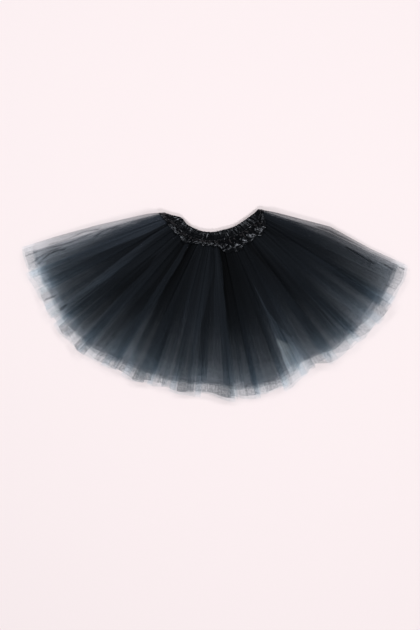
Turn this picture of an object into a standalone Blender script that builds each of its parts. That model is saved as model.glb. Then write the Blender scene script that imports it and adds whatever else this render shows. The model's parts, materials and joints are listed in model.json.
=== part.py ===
"""A child's tutu skirt, laid flat on a surface and fanned out.

Three tubes of gathered net, one inside another, hang from a satin casing that is
gathered over elastic. Laid flat, each tube is a front panel on a back panel, joined
by a soft turn at the left and the right side. Its pleats are real folds: at each one
the net runs forward, back under itself and forward again.

X is across the skirt, +Y points from the hem to the waist, and +Z is up. The origin is
on the floor under the middle of the footprint. Sizes are in millimetres until a point
is handed to Blender.
"""

import math
import random
from collections import namedtuple

import bmesh
import bpy

MM = 0.001

# Driving sizes
NET_WALL = 1.0  # one thickness of net
LAYER_GAP = 0.3  # between two panels that lie on each other
BAND_HEIGHT = 17.0  # the satin casing, from its top edge to its stitch line
TUCK = 3.0  # how far the net reaches up inside the casing
BAND_BACK_TOP = 2.5  # the casing's back wall, from the floor to its inside
FRILL_WALL = 1.2  # the loose satin below the stitch line
FRILL_CLEARANCE = 0.5  # between the frill and the net
PANELS = 6  # three layers, each with a front and a back

# The fan's outline, in polar form about the point that all pleats run towards.
# Angles are in degrees from straight down, and positive to the right.
FAN_CENTRE = (-8.64, 189.23)
Reach = namedtuple("Reach", "angle radius")
WAIST_ARC = (
    Reach(-73.5, 84.0),
    Reach(-62.0, 64.5),
    Reach(-42.0, 60.5),
    Reach(-18.0, 58.5),
    Reach(6.0, 58.5),
    Reach(26.0, 60.0),
    Reach(44.0, 66.0),
    Reach(62.0, 74.0),
    Reach(77.5, 87.5),
)
HEM_ARC = (
    Reach(-75.2, 355.0),
    Reach(-60.0, 357.0),
    Reach(-42.0, 364.0),
    Reach(-28.0, 356.0),
    Reach(-14.0, 354.0),
    Reach(0.0, 355.0),
    Reach(10.0, 366.0),
    Reach(20.0, 371.0),
    Reach(30.0, 361.0),
    Reach(42.0, 371.0),
    Reach(56.0, 380.0),
    Reach(71.0, 381.0),
)

# Rows of the net, from the seam in the casing down to the hem. along is the share of
# the net's length, pitch the height that each panel takes up, side_pitch the same at
# the two side turns, lap the share of a pleat's overlap, and lift the height of the
# lowest panel above the floor. The outer layer's side turns swell out by left_bulge and
# right_bulge, in millimetres.
Row = namedtuple("Row", "along pitch side_pitch lap lift left_bulge right_bulge")
ROWS = (
    Row(0.0, 1.6, 1.6, 0.0, 2.9, 0.0, 0.0),
    Row(0.08, 3.8, 3.4, 0.0, 1.6, 0.0, 0.5),
    Row(0.46, 4.2, 3.0, 0.5, 0.0, 3.0, 14.0),
    Row(0.74, 4.0, 2.5, 0.8, 0.0, 2.5, 3.0),
    Row(1.0, 3.8, 2.0, 1.0, 0.0, 0.0, 0.0),
)
LEAST_LAP = 1.8  # a pleat's overlap where it is still closed up by the gathers
RUN_CLEARANCE = 0.8  # from a fold to the point where the next run leaves its level
LANDING = 3.0  # from there to where the lowest panel lies flat on the floor again
SIDE_SHARE = 0.035  # of a panel's width, over which the stack thins to its side turn
SIDE_STEPS = 4  # straight pieces in a side turn
NET_SWELL = 0.85  # how far a side turn stands out, as a share of half its height
BAND_SWELL = 1.05

# The layers, with how far each reaches along the fan and how far its side turns stay
# inside the outermost one, in millimetres, at the hem.
Layer = namedtuple("Layer", "name depth front_reach back_reach left_inset right_inset pleats seed")
LAYERS = (
    Layer("tulle_outer", 0, 0.985, 1.0, 0.0, 0.0, 17, 11),
    Layer("tulle_middle", 1, 0.955, 0.965, 9.0, 6.0, 12, 23),
    Layer("tulle_inner", 2, 0.925, 0.935, 17.0, 10.0, 9, 37),
)
SEAM_INSET = 0.12  # the share of those insets that is left at the seam

# The pleats of the outer front panel, left to right. hem and waist are the angles of a
# fold's two ends, lap the overlap at the hem in millimetres, lip the side that the upper
# edge points to, and step how much further the hem reaches at the fold's upper edge.
Pleat = namedtuple("Pleat", "hem waist lap lip step")
FRONT_PLEATS = (
    Pleat(-67.5, -65.5, 9.0, -1, 2.0),
    Pleat(-61.5, -57.5, 12.0, 1, -3.0),
    Pleat(-54.2, -49.5, 14.0, 1, 4.0),
    Pleat(-47.0, -41.5, 12.0, -1, 3.0),
    Pleat(-40.0, -33.0, 13.0, 1, 5.0),
    Pleat(-29.6, -21.0, 9.0, 1, 2.0),
    Pleat(-21.4, -13.0, 18.0, -1, 4.0),
    Pleat(-14.0, -6.0, 10.0, 1, -4.0),
    Pleat(-6.0, 1.5, 14.0, -1, 3.0),
    Pleat(6.9, 10.0, 14.0, 1, 5.0),
    Pleat(14.0, 19.0, 12.0, -1, 2.0),
    Pleat(22.5, 29.5, 14.0, 1, -4.0),
    Pleat(31.0, 38.5, 16.0, -1, 5.0),
    Pleat(38.0, 47.0, 12.0, 1, 6.0),
    Pleat(45.0, 55.5, 14.0, 1, 6.0),
    Pleat(52.0, 63.5, 12.0, -1, 3.0),
    Pleat(59.0, 69.0, 12.0, 1, 6.0),
)

# Rows of the satin casing. down is the distance from its top edge, front the height of
# the inside of its front wall, wall its thickness and gather the depth of its gathers.
BandRow = namedtuple("BandRow", "down front wall gather")
BAND_ROWS = (
    BandRow(0.0, 8.0, 1.5, 0.9),
    BandRow(7.5, 10.0, 1.5, 1.3),
    BandRow(14.0, 12.7, 1.5, 1.0),
    BandRow(17.0, 14.4, 1.4, 0.2),
)
BAND_GATHERS = 30  # on the front, and as many on the back
END_SQUEEZE = 0.45  # the share of the casing's height that shows at its two end turns
SQUEEZE_SHARE = 0.07  # of the waist's width, over which the casing narrows to that

# The loose satin below the stitch line: how far it reaches down the front.
FRILL_REACH = (
    Reach(-75.5, 5.0),
    Reach(-62.0, 9.0),
    Reach(-48.0, 11.0),
    Reach(-38.0, 10.0),
    Reach(-28.0, 17.0),
    Reach(-20.0, 10.0),
    Reach(-8.0, 9.0),
    Reach(2.0, 10.0),
    Reach(12.0, 13.0),
    Reach(17.0, 22.0),
    Reach(26.0, 28.0),
    Reach(32.0, 28.0),
    Reach(42.0, 23.0),
    Reach(52.0, 23.0),
    Reach(62.0, 23.0),
    Reach(72.0, 14.0),
    Reach(79.4, 8.0),
)
FRILL_ROWS = (0.5, 1.0)  # shares of that reach
BACK_FRILL = 0.6  # of the front's reach
FRILL_RUFFLES = 11  # on the front
FRILL_DEPTH = 2.4


def blend(a, b, share):
    """The value that share of the way from a to b."""
    return a + (b - a) * share


def reach_at(arc, angle):
    """The radius of an arc at an angle, on a smooth curve through its rows."""
    angle = min(arc[-1].angle, max(arc[0].angle, angle))
    k = max(i for i in range(len(arc) - 1) if arc[i].angle <= angle + 1e-9)
    before, start, end, after = arc[max(k - 1, 0)], arc[k], arc[k + 1], arc[min(k + 2, len(arc) - 1)]
    span = end.angle - start.angle
    share = (angle - start.angle) / span
    rise_start = (end.radius - before.radius) / (end.angle - before.angle) * span
    rise_end = (after.radius - start.radius) / (after.angle - start.angle) * span
    s2, s3 = share**2, share**3
    return (
        (2 * s3 - 3 * s2 + 1) * start.radius
        + (s3 - 2 * s2 + share) * rise_start
        + (3 * s2 - 2 * s3) * end.radius
        + (s3 - s2) * rise_end
    )


def polar(angle, radius):
    """The point on the floor at an angle and a distance from the fan's centre."""
    turn = math.radians(angle)
    return FAN_CENTRE[0] + radius * math.sin(turn), FAN_CENTRE[1] - radius * math.cos(turn)


def angle_on(arc, across):
    """The angle that share of the way across an arc."""
    return blend(arc[0].angle, arc[-1].angle, across)


def across_on(arc, angle):
    """The share of the way across an arc of an angle."""
    return (angle - arc[0].angle) / (arc[-1].angle - arc[0].angle)


def squeezed(down, across):
    """A distance down the casing, as it shows at that place: less near the end turns."""
    return down * blend(END_SQUEEZE, 1.0, min(1.0, min(across, 1 - across) / SQUEEZE_SHARE))


def band_point(across, down):
    """A point of the casing, that share across the waist and that far below its top edge."""
    across = min(1.0, max(0.0, across))
    angle = angle_on(WAIST_ARC, across)
    x, y = polar(angle, reach_at(WAIST_ARC, angle))
    hem_angle = angle_on(HEM_ARC, across)
    hem_x, hem_y = polar(hem_angle, reach_at(HEM_ARC, hem_angle))
    share = squeezed(down, across) / math.hypot(hem_x - x, hem_y - y)
    return blend(x, hem_x, share), blend(y, hem_y, share)


def net_point(waist_across, hem_across, along, reach=1.0, step=0.0):
    """A point of the net on the straight line from its seam to its hem."""
    x, y = band_point(waist_across, BAND_HEIGHT - TUCK)
    hem_angle = angle_on(HEM_ARC, hem_across)
    hem_x, hem_y = polar(hem_angle, reach_at(HEM_ARC, hem_angle) * reach + step)
    return blend(x, hem_x, along), blend(y, hem_y, along)


def row_width(along):
    """The length of the fan's arc at that share of the net's length."""
    steps = 24
    points = [net_point(i / steps, i / steps, along) for i in range(steps + 1)]
    return sum(math.dist(a, b) for a, b in zip(points, points[1:]))


def inwards(across):
    """How far a place is from the nearer side turn to the full stack, from 0 to 1."""
    return min(1.0, max(0.0, min(across, 1 - across) / SIDE_SHARE))


def pitch_at(row, across):
    """The height that each panel takes up, which falls towards the side turns."""
    return blend(row.side_pitch, row.pitch, inwards(across))


def net_height(row, across, panel, level, side):
    """The height of a wall's side. level is 0 at the panel's floor and 2 at its top."""
    pitch = pitch_at(row, across)
    play = (pitch - NET_WALL - LAYER_GAP) / 2
    return row.lift + panel * pitch + NET_WALL / 2 + level * play + side * NET_WALL / 2


def bulge_at(row, across, layer):
    """The swell of the outer layer's side turns towards the waist's side."""
    if layer.depth:
        return 0.0
    bulge = row.left_bulge if across < 0.5 else row.right_bulge
    return bulge * (1 - inwards(across))


def even_pleats(count, seed, left, right):
    """Pleats spread over a panel between two shares of its width, no two alike."""
    rng = random.Random(seed)
    pleats = []
    for k in range(count):
        middle = blend(left, right, (k + 0.5) / count)
        width = (right - left) / count
        hem = middle + width * rng.uniform(-0.16, 0.16)
        waist = middle + width * rng.uniform(-0.12, 0.12)
        lip = 1 if rng.random() < 0.6 else -1
        pleats.append(Pleat(hem, waist, rng.uniform(9.0, 16.0), lip, rng.uniform(-3.0, 5.0)))
    return pleats


def pleats_of(layer, is_front):
    """A panel's pleats, with hem and waist as shares of its width."""
    if is_front and layer.depth == 0:
        return [
            p._replace(hem=across_on(HEM_ARC, p.hem), waist=across_on(WAIST_ARC, p.waist))
            for p in FRONT_PLEATS
        ]
    margin = SIDE_SHARE + 0.004
    return even_pleats(layer.pleats, layer.seed + is_front, margin, 1 - margin)


def panel_section(layer, is_front, row, side):
    """One side of a panel's wall across one row, left to right, as points."""
    panel = PANELS - 1 - layer.depth if is_front else layer.depth
    reach = layer.front_reach if is_front else layer.back_reach
    width = row_width(row.along)
    is_folded, is_hem = row is not ROWS[0], row is ROWS[-1]
    inset_share = blend(SEAM_INSET, 1.0, row.along)
    facing = side if is_front else -side
    points = []

    def add(waist, hem, shift, level, lean, step):
        """shift is along the row, in millimetres, and lean is where the wall's side lies."""
        waist, hem = waist + shift / width, hem + shift / width
        across = blend(waist, hem, row.along)
        x, y = net_point(waist, hem, row.along, *((reach, step) if is_hem else ()))
        y += bulge_at(row, across, layer)
        points.append((x, y, net_height(row, across, panel, level, lean)))

    left_end = layer.left_inset * inset_share / width
    right_end = 1 - layer.right_inset * inset_share / width
    for across in (left_end, SIDE_SHARE):
        add(across, across, 0.0, 1, facing, 0.0)
    for pleat in pleats_of(layer, is_front):
        lap = max(LEAST_LAP, pleat.lap * row.lap) if is_folded else 0.0
        upper, lower = (2, 0) if pleat.lip > 0 else (0, 2)
        clear = lap / 2 + NET_WALL / 2 + RUN_CLEARANCE
        tip, tail = pleat.step, -pleat.step / 2
        if is_folded:
            levels, leans = (upper, 1, 1, lower), (facing, -facing, -facing, facing)
        else:
            levels, leans = [blend(upper, lower, k / 3) for k in range(4)], [facing] * 4
        sideways = pleat.lip * facing * NET_WALL / 2
        ends = (pleat.waist, pleat.hem)
        if panel == 0 and upper:
            add(*ends, -clear - LANDING, 0, facing, tip)
        add(*ends, -clear, upper, facing, tip)
        add(*ends, lap / 2 + sideways, levels[0], leans[0], tip)
        add(*ends, lap / 2 + sideways, levels[1], leans[1], tip)
        add(*ends, -lap / 2 + sideways, levels[2], leans[2], tail)
        add(*ends, -lap / 2 + sideways, levels[3], leans[3], tail)
        add(*ends, clear, lower, facing, tail)
        if panel == 0 and lower:
            add(*ends, clear + LANDING, 0, facing, tail)
    for across in (1 - SIDE_SHARE, right_end):
        add(across, across, 0.0, 1, facing, 0.0)
    return points


def side_turn(top, bottom, outward, roundness):
    """The points between two panel ends, on half an ellipse that stands out sideways."""
    height = abs(top[2] - bottom[2]) / 2 * roundness
    points = []
    for k in range(1, SIDE_STEPS):
        turn = math.pi * k / SIDE_STEPS
        share = (1 - math.cos(turn)) / 2
        swell = height * math.sin(turn)
        x = blend(top[0], bottom[0], share) + outward[0] * swell
        y = blend(top[1], bottom[1], share) + outward[1] * swell
        points.append((x, y, blend(top[2], bottom[2], share)))
    return points


def outward_at(place, across):
    """The direction on the floor that leads out of the fan at one of its sides."""
    inner = 0.02 if across < 0.5 else 0.98
    (x0, y0), (x1, y1) = place(inner), place(across)
    length = math.hypot(x1 - x0, y1 - y0)
    return (x1 - x0) / length, (y1 - y0) / length


def closed_ring(front, back, place, roundness):
    """A front and a back section, both left to right, joined into one loop."""
    right, left = outward_at(place, 1.0), outward_at(place, 0.0)
    return (
        front
        + side_turn(front[-1], back[-1], right, roundness)
        + back[::-1]
        + side_turn(back[0], front[0], left, roundness)
    )


def net_ring(layer, row, side):
    """The outside (side 1) or the inside (side -1) of a layer, all round at one row."""
    return closed_ring(
        panel_section(layer, True, row, side),
        panel_section(layer, False, row, side),
        lambda across: net_point(across, across, row.along),
        NET_SWELL,
    )


def stack_at(down, across):
    """The underside and the top of the whole stack of net, that far down from the waist's edge."""
    start = band_point(across, BAND_HEIGHT - TUCK)
    hem = net_point(across, across, 1.0)
    along = max(0.0, squeezed(down - BAND_HEIGHT + TUCK, across) / math.dist(start, hem))
    k = max(i for i, row in enumerate(ROWS[:-1]) if row.along <= along)
    share = (along - ROWS[k].along) / (ROWS[k + 1].along - ROWS[k].along)
    lift = blend(ROWS[k].lift, ROWS[k + 1].lift, share)
    pitch = blend(pitch_at(ROWS[k], across), pitch_at(ROWS[k + 1], across), share)
    return lift, lift + PANELS * pitch - LAYER_GAP


def gather_wave(k):
    """The gathers' height at the k-th point across, from 0 to 1: crests at the odd points."""
    return k % 2 * (0.8 + 0.2 * math.sin(1.2 * k))


def ruffle_wave(across):
    """The frill's larger waves, from 0 to 1."""
    return 0.5 + 0.5 * math.sin(math.tau * FRILL_RUFFLES * across + 1.1 * math.sin(9 * across))


def casing_heights(is_front, band_row, k):
    """The heights of the casing's inside and outside at its k-th point across."""
    raised = band_row.gather * gather_wave(k)
    if is_front:
        return band_row.front, band_row.front + band_row.wall + raised
    return BAND_BACK_TOP, band_row.gather - raised


def frill_heights(is_front, down, lowest_row, across):
    """The heights of the frill's inside and outside, so that it clears the net below it."""
    if not is_front:
        return FRILL_WALL, 0.0
    inside = stack_at(down, across)[1] + FRILL_CLEARANCE
    if lowest_row:
        inside += FRILL_DEPTH * ruffle_wave(across)
    return inside, inside + FRILL_WALL


def band_section(is_front, band_row, side):
    """One side of the casing's wall across one row, left to right. A number is a frill row."""
    count = 2 * BAND_GATHERS
    points = []
    for k in range(count + 1):
        across = k / count
        if isinstance(band_row, BandRow):
            down = band_row.down
            inside, outside = casing_heights(is_front, band_row, k)
        else:
            reach = reach_at(FRILL_REACH, angle_on(WAIST_ARC, across))
            reach *= 1 if is_front else BACK_FRILL
            down = BAND_HEIGHT + reach * band_row
            inside, outside = frill_heights(is_front, BAND_HEIGHT + reach, band_row == 1, across)
        x, y = band_point(across, down)
        points.append((x, y, outside if side > 0 else inside))
    return points


def band_ring(band_row, side):
    """The outside or the inside of the casing, all round at one row."""
    down = band_row.down if isinstance(band_row, BandRow) else BAND_HEIGHT
    return closed_ring(
        band_section(True, band_row, side),
        band_section(False, band_row, side),
        lambda across: band_point(across, down),
        BAND_SWELL,
    )


def wall_object(name, outside, inside, material):
    """A cloth tube as one closed solid, from the rings of its outside and its inside."""
    mesh = bmesh.new()
    skins = [
        [[mesh.verts.new([c * MM for c in point]) for point in ring] for ring in rings]
        for rings in (outside, inside)
    ]
    count = len(outside[0])
    for rings in skins:
        for upper, lower in zip(rings, rings[1:]):
            for k in range(count):
                after = (k + 1) % count
                mesh.faces.new((upper[k], upper[after], lower[after], lower[k]))
    for row in (0, -1):
        outer, inner = skins[0][row], skins[1][row]
        for k in range(count):
            after = (k + 1) % count
            mesh.faces.new((outer[k], outer[after], inner[after], inner[k]))
    bmesh.ops.recalc_face_normals(mesh, faces=mesh.faces)
    data = bpy.data.meshes.new(name)
    mesh.to_mesh(data)
    mesh.free()
    data.materials.append(material)
    data.shade_smooth()
    data.set_sharp_from_angle(angle=math.radians(40))
    made = bpy.data.objects.new(name, data)
    bpy.context.scene.collection.objects.link(made)
    return made


def cloth_material(name, colour, roughness):
    """A plain cloth finish."""
    material = bpy.data.materials.new(name)
    material.use_nodes = True
    shader = material.node_tree.nodes["Principled BSDF"]
    shader.inputs["Base Color"].default_value = (*colour, 1.0)
    shader.inputs["Roughness"].default_value = roughness
    shader.inputs["Metallic"].default_value = 0.0
    return material


def make_layer(layer):
    """One tube of pleated net."""
    outside = [net_ring(layer, row, 1) for row in ROWS]
    inside = [net_ring(layer, row, -1) for row in ROWS]
    shade = 0.016 + 0.004 * layer.depth
    finish = cloth_material(f"{layer.name}_net", (shade, shade * 1.15, shade * 1.5), 0.7)
    return wall_object(layer.name, outside, inside, finish)


def make_waistband():
    """The satin casing and the frill below its stitch line, in one piece."""
    rows = (*BAND_ROWS, *FRILL_ROWS)
    outside = [band_ring(row, 1) for row in rows]
    inside = [band_ring(row, -1) for row in rows]
    satin = cloth_material("waistband_satin", (0.008, 0.009, 0.012), 0.3)
    return wall_object("waistband", outside, inside, satin)


for old in list(bpy.data.objects):
    bpy.data.objects.remove(old)
make_waistband()
for skirt_layer in LAYERS:
    make_layer(skirt_layer)
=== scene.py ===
# %% [markdown]
# A child's tutu, laid flat and fanned out on a pale surface and seen from straight above.
# Three tubes of soft black net hang from a satin band that is gathered over elastic. The
# solids of the skirt come first, because each piece below has to lie where its solid lies.

# %% Load the solids
import json
import math
from collections import namedtuple

import bpy
import numpy as np
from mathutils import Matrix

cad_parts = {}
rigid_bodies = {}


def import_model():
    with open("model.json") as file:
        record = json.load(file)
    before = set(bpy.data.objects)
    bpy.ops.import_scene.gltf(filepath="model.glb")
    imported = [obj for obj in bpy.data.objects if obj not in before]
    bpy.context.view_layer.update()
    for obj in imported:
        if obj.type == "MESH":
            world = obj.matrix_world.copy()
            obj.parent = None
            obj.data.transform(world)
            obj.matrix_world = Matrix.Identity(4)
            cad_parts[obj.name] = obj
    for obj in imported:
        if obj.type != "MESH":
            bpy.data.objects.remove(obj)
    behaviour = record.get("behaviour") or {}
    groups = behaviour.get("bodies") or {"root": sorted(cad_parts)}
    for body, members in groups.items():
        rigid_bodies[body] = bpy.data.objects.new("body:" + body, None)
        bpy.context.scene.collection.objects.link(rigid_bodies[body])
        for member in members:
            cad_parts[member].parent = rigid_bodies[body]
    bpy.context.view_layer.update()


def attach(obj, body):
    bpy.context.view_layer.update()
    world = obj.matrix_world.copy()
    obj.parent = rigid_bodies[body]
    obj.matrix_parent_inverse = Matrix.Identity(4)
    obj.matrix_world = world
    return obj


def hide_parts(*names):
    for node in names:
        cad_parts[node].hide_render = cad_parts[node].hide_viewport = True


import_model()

# %% [markdown]
# The fan. Every pleat runs towards one point above the waist, so a place in the skirt is an
# angle about that point and a share of the way from the waist's seam to the hem. Two short
# tables give the waist's and the hem's distance from it. A smooth curve through the rows is
# kinder than straight pieces, and it can be read for a thousand places at once with numpy.

# %% The fan's two arcs
MM = 0.001
FAN_CENTRE = (-8.64, 189.23)
WAIST_ROWS = (
    (-73.5, 84.0), (-62.0, 64.5), (-42.0, 60.5), (-18.0, 58.5), (6.0, 58.5),
    (26.0, 60.0), (44.0, 66.0), (62.0, 74.0), (77.5, 87.5),
)
HEM_ROWS = (
    (-75.2, 355.0), (-60.0, 357.0), (-42.0, 364.0), (-28.0, 356.0), (-14.0, 354.0),
    (0.0, 355.0), (10.0, 366.0), (20.0, 371.0), (30.0, 361.0), (42.0, 371.0),
    (56.0, 380.0), (71.0, 381.0),
)


def smooth_curve(rows):
    """A function that reads a smooth curve through (place, value) rows."""
    places, values = np.array(rows, dtype=float).T
    slopes = np.gradient(values, places)

    def read(place):
        place = np.clip(place, places[0], places[-1])
        k = np.clip(np.searchsorted(places, place, side="right") - 1, 0, len(places) - 2)
        span = places[k + 1] - places[k]
        s = (place - places[k]) / span
        start = (2 * s**3 - 3 * s**2 + 1) * values[k] + (s**3 - 2 * s**2 + s) * slopes[k] * span
        end = (3 * s**2 - 2 * s**3) * values[k + 1] + (s**3 - s**2) * slopes[k + 1] * span
        return start + end

    read.ends = places[0], places[-1]
    return read


waist_radius, hem_radius = smooth_curve(WAIST_ROWS), smooth_curve(HEM_ROWS)


def angle_on(arc, across):
    """The angle that share of the way across an arc, in degrees from straight down."""
    first, last = arc.ends
    return first + (last - first) * np.clip(across, 0, 1)


def polar(angle, radius):
    """The place at an angle and a distance from the fan's centre, in millimetres."""
    turn = np.radians(angle)
    x, y = FAN_CENTRE
    return np.stack([x + radius * np.sin(turn), y - radius * np.cos(turn)], -1)


# %% [markdown]
# The stack. A skirt laid flat is six panels deep, three in front and three behind. Each
# panel keeps to its own slot of height, a few millimetres thick, so that no panel of net
# cuts through another. The slots thin out towards the two side edges and under the band.

# %% Heights and widths of the stack
BAND_HEIGHT, TUCK, PANELS, LAYER_GAP = 17.0, 3.0, 6, 0.3
END_SQUEEZE, SQUEEZE_SHARE, SIDE_SHARE = 0.45, 0.07, 0.035
ALONG = np.array([0.0, 0.08, 0.46, 0.74, 1.0])
PITCH, SIDE_PITCH = (1.6, 3.8, 4.2, 4.0, 3.8), (1.6, 3.4, 3.0, 2.5, 2.0)
LAP_SHARE, LIFT = (0.0, 0.1, 0.5, 0.8, 1.0), (2.9, 1.6, 0.0, 0.0, 0.0)
BULGE = {"left": (0.0, 0.0, 3.0, 2.5, 0.0), "right": (0.0, 0.5, 14.0, 3.0, 0.0)}
BULGE_SHARE = (1.0, 0.6, 0.4)


def down_the_net(column, along):
    """A column of the stack's table, read at a share of the net's length."""
    return np.interp(along, ALONG, column)


def rise(share):
    """From 0 to 1 with a soft start and end."""
    share = np.clip(share, 0, 1)
    return share * share * (3 - 2 * share)


def inwards(across):
    """0 at the nearer side edge and 1 where the stack has its whole depth."""
    return np.clip(np.minimum(across, 1 - across) / SIDE_SHARE, 0, 1)


def pitch_at(along, across):
    """The height of one panel's slot."""
    side, middle = down_the_net(SIDE_PITCH, along), down_the_net(PITCH, along)
    return side + (middle - side) * inwards(across)


def squeezed(down, across):
    """A distance down the band, as it shows there: the band tips over at its two ends."""
    near = np.clip(np.minimum(across, 1 - across) / SQUEEZE_SHARE, 0, 1)
    return down * (END_SQUEEZE + (1 - END_SQUEEZE) * near)


def band_place(across, down):
    """The place that share across the waist and that far below its top edge."""
    angle, hem_angle = angle_on(waist_radius, across), angle_on(hem_radius, across)
    start = polar(angle, waist_radius(angle))
    away = polar(hem_angle, hem_radius(hem_angle)) - start
    length = np.linalg.norm(away, axis=-1)
    return start + away * (squeezed(down, across) / length)[..., None]


def net_place(waist, hem, along, reach, step):
    """The place on the straight line from the seam to the hem. waist and hem are shares across."""
    start = band_place(waist, BAND_HEIGHT - TUCK)
    angle = angle_on(hem_radius, hem)
    end = polar(angle, hem_radius(angle) * reach + step)
    return start + (end - start) * along[..., None]


def row_width(along):
    """The length of the fan's arc at a share of the net's length."""
    across = np.linspace(0, 1, 60)
    line = net_place(across, across, np.full(60, float(along)), 1.0, 0.0)
    return float(np.linalg.norm(np.diff(line, axis=0), axis=1).sum())


print("the fan is", [round(row_width(a)) for a in ALONG], "mm wide from its seam to its hem")

# %% [markdown]
# Pleats. Net that is gathered small and then spread out falls into knife pleats: it runs
# forward, turns back under itself and runs forward again, so three thicknesses lie on each
# other. Where they do, the skirt is darker, and that is what draws its spokes. The front of
# the outer tube follows the table, row by row. The panels that are only seen through it, or
# not at all, get pleats like them from a seeded generator.

# %% The pleats of each panel
Pleat = namedtuple("Pleat", "hem waist lap lip step")
FRONT_PLEATS = (
    Pleat(-67.5, -65.5, 9.0, -1, 2.0),
    Pleat(-61.5, -57.5, 12.0, 1, -3.0),
    Pleat(-54.2, -49.5, 14.0, 1, 4.0),
    Pleat(-47.0, -41.5, 12.0, -1, 3.0),
    Pleat(-40.0, -33.0, 13.0, 1, 5.0),
    Pleat(-29.6, -21.0, 9.0, 1, 2.0),
    Pleat(-21.4, -13.0, 18.0, -1, 4.0),
    Pleat(-14.0, -6.0, 10.0, 1, -4.0),
    Pleat(-6.0, 1.5, 14.0, -1, 3.0),
    Pleat(6.9, 10.0, 14.0, 1, 5.0),
    Pleat(14.0, 19.0, 12.0, -1, 2.0),
    Pleat(22.5, 29.5, 14.0, 1, -4.0),
    Pleat(31.0, 38.5, 16.0, -1, 5.0),
    Pleat(38.0, 47.0, 12.0, 1, 6.0),
    Pleat(45.0, 55.5, 14.0, 1, 6.0),
    Pleat(52.0, 63.5, 12.0, -1, 3.0),
    Pleat(59.0, 69.0, 12.0, 1, 6.0),
)
Tube = namedtuple(
    "Tube",
    "name node depth front_reach back_reach left right pleats seed cut_width cut_length body",
)
TUBES = (
    Tube("outer_net", "tulle_outer", 0, 0.985, 1.0, 0.0, 0.0, 17, 11, 2.3, 0.295, 0.6),
    Tube("middle_net", "tulle_middle", 1, 0.946, 0.952, 13.0, 4.0, 12, 23, 1.9, 0.28, 1.35),
    Tube("inner_net", "tulle_inner", 2, 0.93, 0.936, 24.0, 11.0, 9, 37, 1.7, 0.27, 1.35),
)


def share_on(arc, angle):
    """The share of the way across an arc of an angle."""
    return (angle - arc.ends[0]) / (arc.ends[1] - arc.ends[0])


def panel_pleats(tube, is_front):
    """A panel's pleats, left to right, with hem and waist as shares across."""
    if is_front and tube.depth == 0:
        return [
            p._replace(hem=share_on(hem_radius, p.hem), waist=share_on(waist_radius, p.waist))
            for p in FRONT_PLEATS
        ]
    rng = np.random.default_rng(tube.seed + is_front)
    width = (1 - 2 * SIDE_SHARE) / tube.pleats
    return [
        Pleat(
            SIDE_SHARE + width * (k + 0.5 + rng.uniform(-0.2, 0.2)),
            SIDE_SHARE + width * (k + 0.5 + rng.uniform(-0.15, 0.15)),
            rng.uniform(9.0, 16.0),
            1 if rng.random() < 0.6 else -1,
            rng.uniform(-9.0, 7.0),
        )
        for k in range(tube.pleats)
    ]


print("pleats:", sum(len(panel_pleats(t, f)) for t in TUBES for f in (True, False)))

# %% [markdown]
# One tube of net is a grid of points: columns run from the waist to the hem, and rows run
# all round, along the front, round the side edge and back behind. Across a pleat the columns
# follow an S on its side. The S is written once, as shares of the pleat's overlap and of the
# slot's height, and is then laid at each pleat of the table.

# %% Columns round a tube
Column = namedtuple("Column", "waist hem turn clear level step calm lap")
WAIST, CALM, LAP = (Column._fields.index(name) for name in ("waist", "calm", "lap"))
PLEAT_S = (
    (-1.0, -1.6, 2.0), (-0.4, 0.0, 2.0), (0.3, 0.0, 2.0), (0.8, 0.0, 2.0), (1.0, 0.0, 1.75),
    (1.0, 0.0, 1.3), (0.8, 0.0, 1.08), (0.0, 0.0, 1.0), (-0.8, 0.0, 0.92), (-1.0, 0.0, 0.7),
    (-1.0, 0.0, 0.25), (-0.8, 0.0, 0.0), (-0.3, 0.0, 0.0), (0.4, 0.0, 0.0), (1.0, 1.6, 0.0),
)
BETWEEN, BETWEEN_SHOWN = 15, 30


def panel_columns(tube, is_front):
    """The columns of one panel, left to right."""
    columns = [Column(SIDE_SHARE, SIDE_SHARE, 0, 0, 1.0, 0.0, 0.0, 0.0)]
    for pleat in panel_pleats(tube, is_front):
        for turn, clear, level in PLEAT_S:
            level = level if pleat.lip > 0 else 2 - level
            share = (level / 2) if pleat.lip > 0 else 1 - level / 2
            step = -pleat.step / 2 + 1.5 * pleat.step * share
            calm = 1.0 if clear == 0 else 0.98
            columns.append(
                Column(pleat.waist, pleat.hem, turn, clear, level, step, calm, pleat.lap)
            )
    columns.append(Column(1 - SIDE_SHARE, 1 - SIDE_SHARE, 0, 0, 1.0, 0.0, 0.0, 0.0))
    table = np.array(columns)
    between = BETWEEN_SHOWN if is_front else BETWEEN
    rows = []
    for a, b in zip(table, table[1:]):
        rows.append(a)
        in_one_pleat = min(a[LAP], b[LAP]) > 0 and a[WAIST] == b[WAIST]
        if in_one_pleat:
            continue
        for k in range(1, between + 1):
            s = k / (between + 1)
            row = a + (b - a) * s
            row[CALM] = abs(2 * s - 1) ** 3
            rows.append(row)
    rows.append(table[-1])
    return np.array(rows)


print("the outer tube's front has", len(panel_columns(TUBES[0], True)), "columns")

# %% [markdown]
# A column only says where it stands across the fan. Its two end angles, its part in the S
# and the row's own width together give its place. Columns blend two shares because a pleat
# leans: it doesn't keep to a spoke of the fan.

# %% Points of a panel
SHEET_ROWS, SIDE_COLUMNS, ROW_CROWDING = 46, 28, 1.15
SEAM_SHARE, LEAST_LAP, HEM_FROM, HEM_FADE = 0.1, 1.8, 0.7, 0.3
along_rows = np.linspace(0, 1, SHEET_ROWS) ** ROW_CROWDING


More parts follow.
